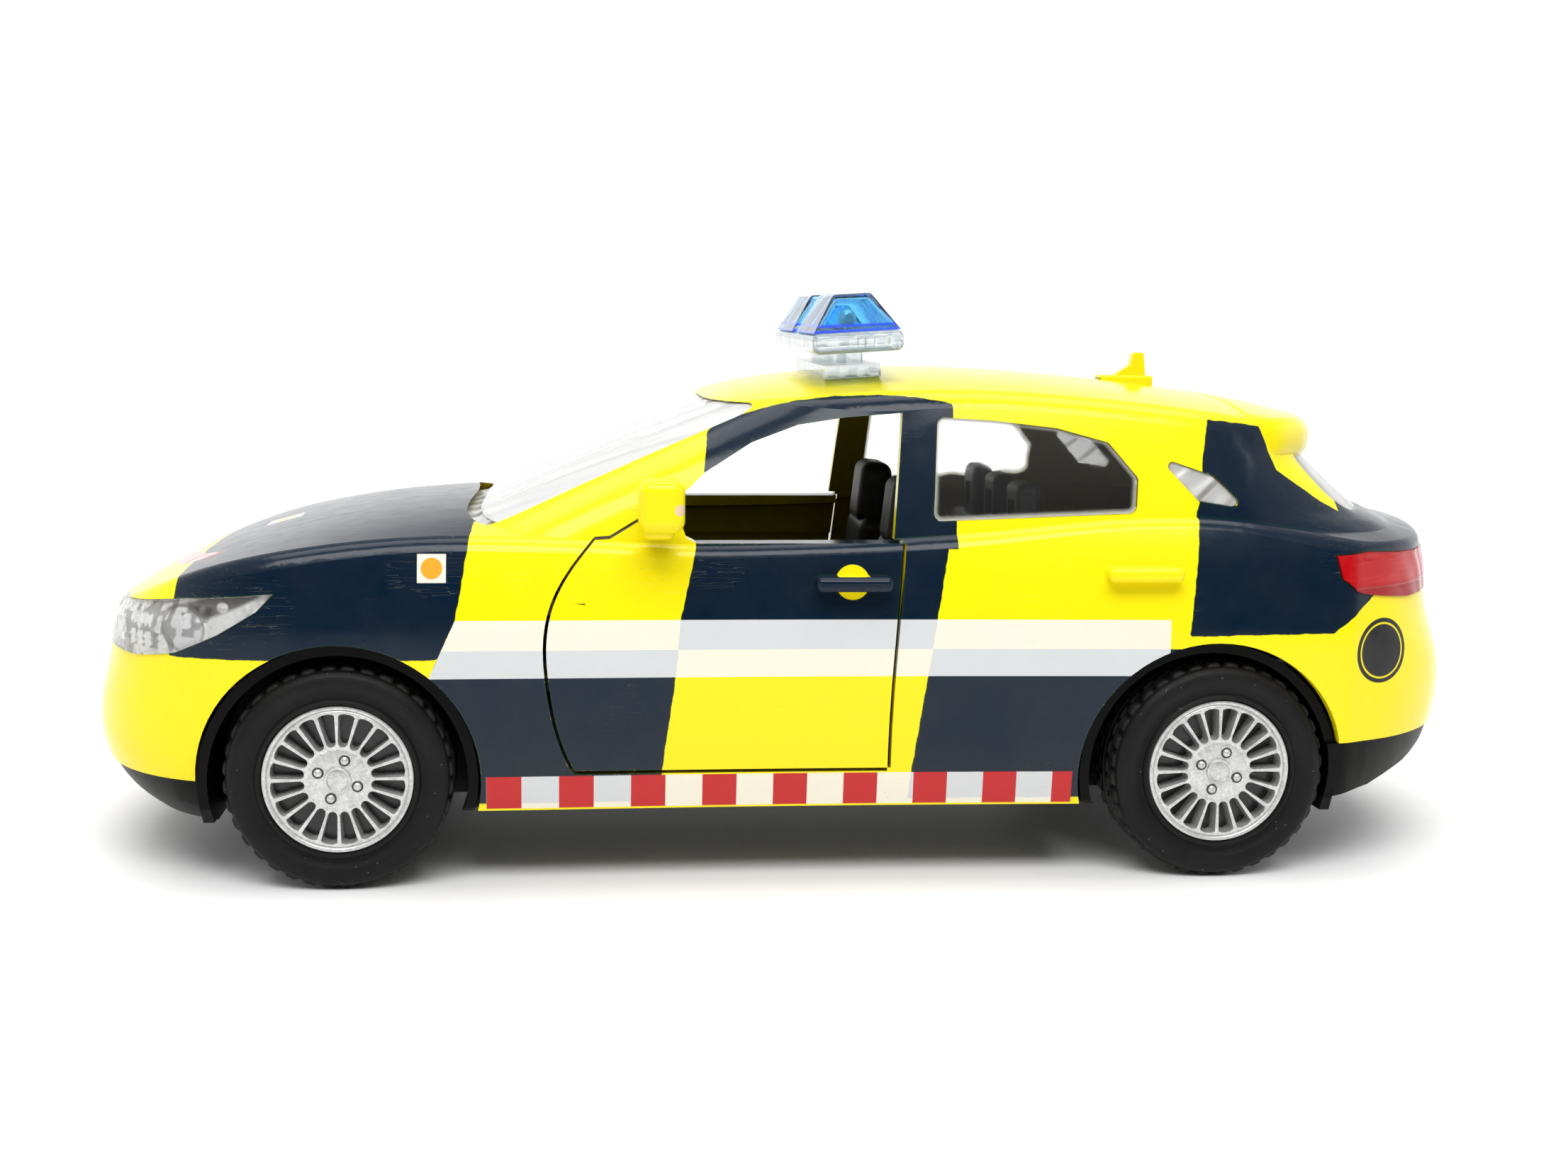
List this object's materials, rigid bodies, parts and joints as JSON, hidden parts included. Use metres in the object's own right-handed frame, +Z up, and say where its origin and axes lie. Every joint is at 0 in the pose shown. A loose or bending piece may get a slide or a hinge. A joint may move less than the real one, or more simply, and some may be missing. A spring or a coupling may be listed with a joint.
{
  "type": "toy police patrol car",
  "caption": "Die-cast toy patrol car with hinged front doors, rolling wheels on fixed axles, roof light bar and hollow cabin.",
  "frame": {"origin": "on the floor under the middle of the car", "axes": "+X to the nose, +Y to the car's left, +Z up"},
  "size_m": [0.1504, 0.0676, 0.0602],
  "materials": {
    "body_paint": "gloss enamel over die-cast zinc, yellow with dark blue checks",
    "clear_plastic": "clear moulded plastic",
    "red_plastic": "clear red moulded plastic",
    "blue_plastic": "clear blue moulded plastic",
    "chrome_trim": "plated plastic",
    "silver_plastic": "silver painted plastic",
    "black_plastic": "satin black moulded plastic",
    "tyre_rubber": "soft black rubber",
    "steel": "plain wire"
  },
  "bodies": {
    "car": {"aerial": "body_paint", "beacon_base": "clear_plastic", "beacon_dome_left": "blue_plastic", "beacon_dome_right": "blue_plastic", "body_shell": "body_paint", "chassis": "black_plastic", "dashboard": "black_plastic", "grille": "chrome_trim", "headlamp_left": "clear_plastic", "headlamp_right": "clear_plastic", "interior_tub": "black_plastic", "lamp_bowl_left": "silver_plastic", "lamp_bowl_right": "silver_plastic", "quarter_window_left": "clear_plastic", "quarter_window_right": "clear_plastic", "rear_bench": "black_plastic", "rear_window": "clear_plastic", "seat_left": "black_plastic", "seat_right": "black_plastic", "side_window_left": "clear_plastic", "side_window_right": "clear_plastic", "steering_wheel": "black_plastic", "tail_lamp_left": "red_plastic", "tail_lamp_right": "red_plastic", "windscreen": "clear_plastic"},
    "front_wheelset": {"axle_front": "steel", "rim_front_left": "silver_plastic", "rim_front_right": "silver_plastic", "tyre_front_left": "tyre_rubber", "tyre_front_right": "tyre_rubber"},
    "rear_wheelset": {"axle_rear": "steel", "rim_rear_left": "silver_plastic", "rim_rear_right": "silver_plastic", "tyre_rear_left": "tyre_rubber", "tyre_rear_right": "tyre_rubber"},
    "left_door": {"door_left": "body_paint", "mirror_left": "body_paint"},
    "right_door": {"door_right": "body_paint", "mirror_right": "body_paint"}
  },
  "joints": [
    {"name": "front_wheels", "type": "hinge", "parent": "car", "child": "front_wheelset", "pos_m": [0.0478, 0, 0.0114], "axis": [0, 1, 0], "continuous": true},
    {"name": "rear_wheels", "type": "hinge", "parent": "car", "child": "rear_wheelset", "pos_m": [-0.0424, 0, 0.0114], "axis": [0, 1, 0], "continuous": true},
    {"name": "left_door_hinge", "type": "hinge", "parent": "car", "child": "left_door", "pos_m": [0.0246, 0.0287, 0.022], "axis": [0, 0, -1], "range_deg": [0, 60]},
    {"name": "right_door_hinge", "type": "hinge", "parent": "car", "child": "right_door", "pos_m": [0.0246, -0.0287, 0.022], "axis": [0, 0, 1], "range_deg": [0, 60]}
  ]
}
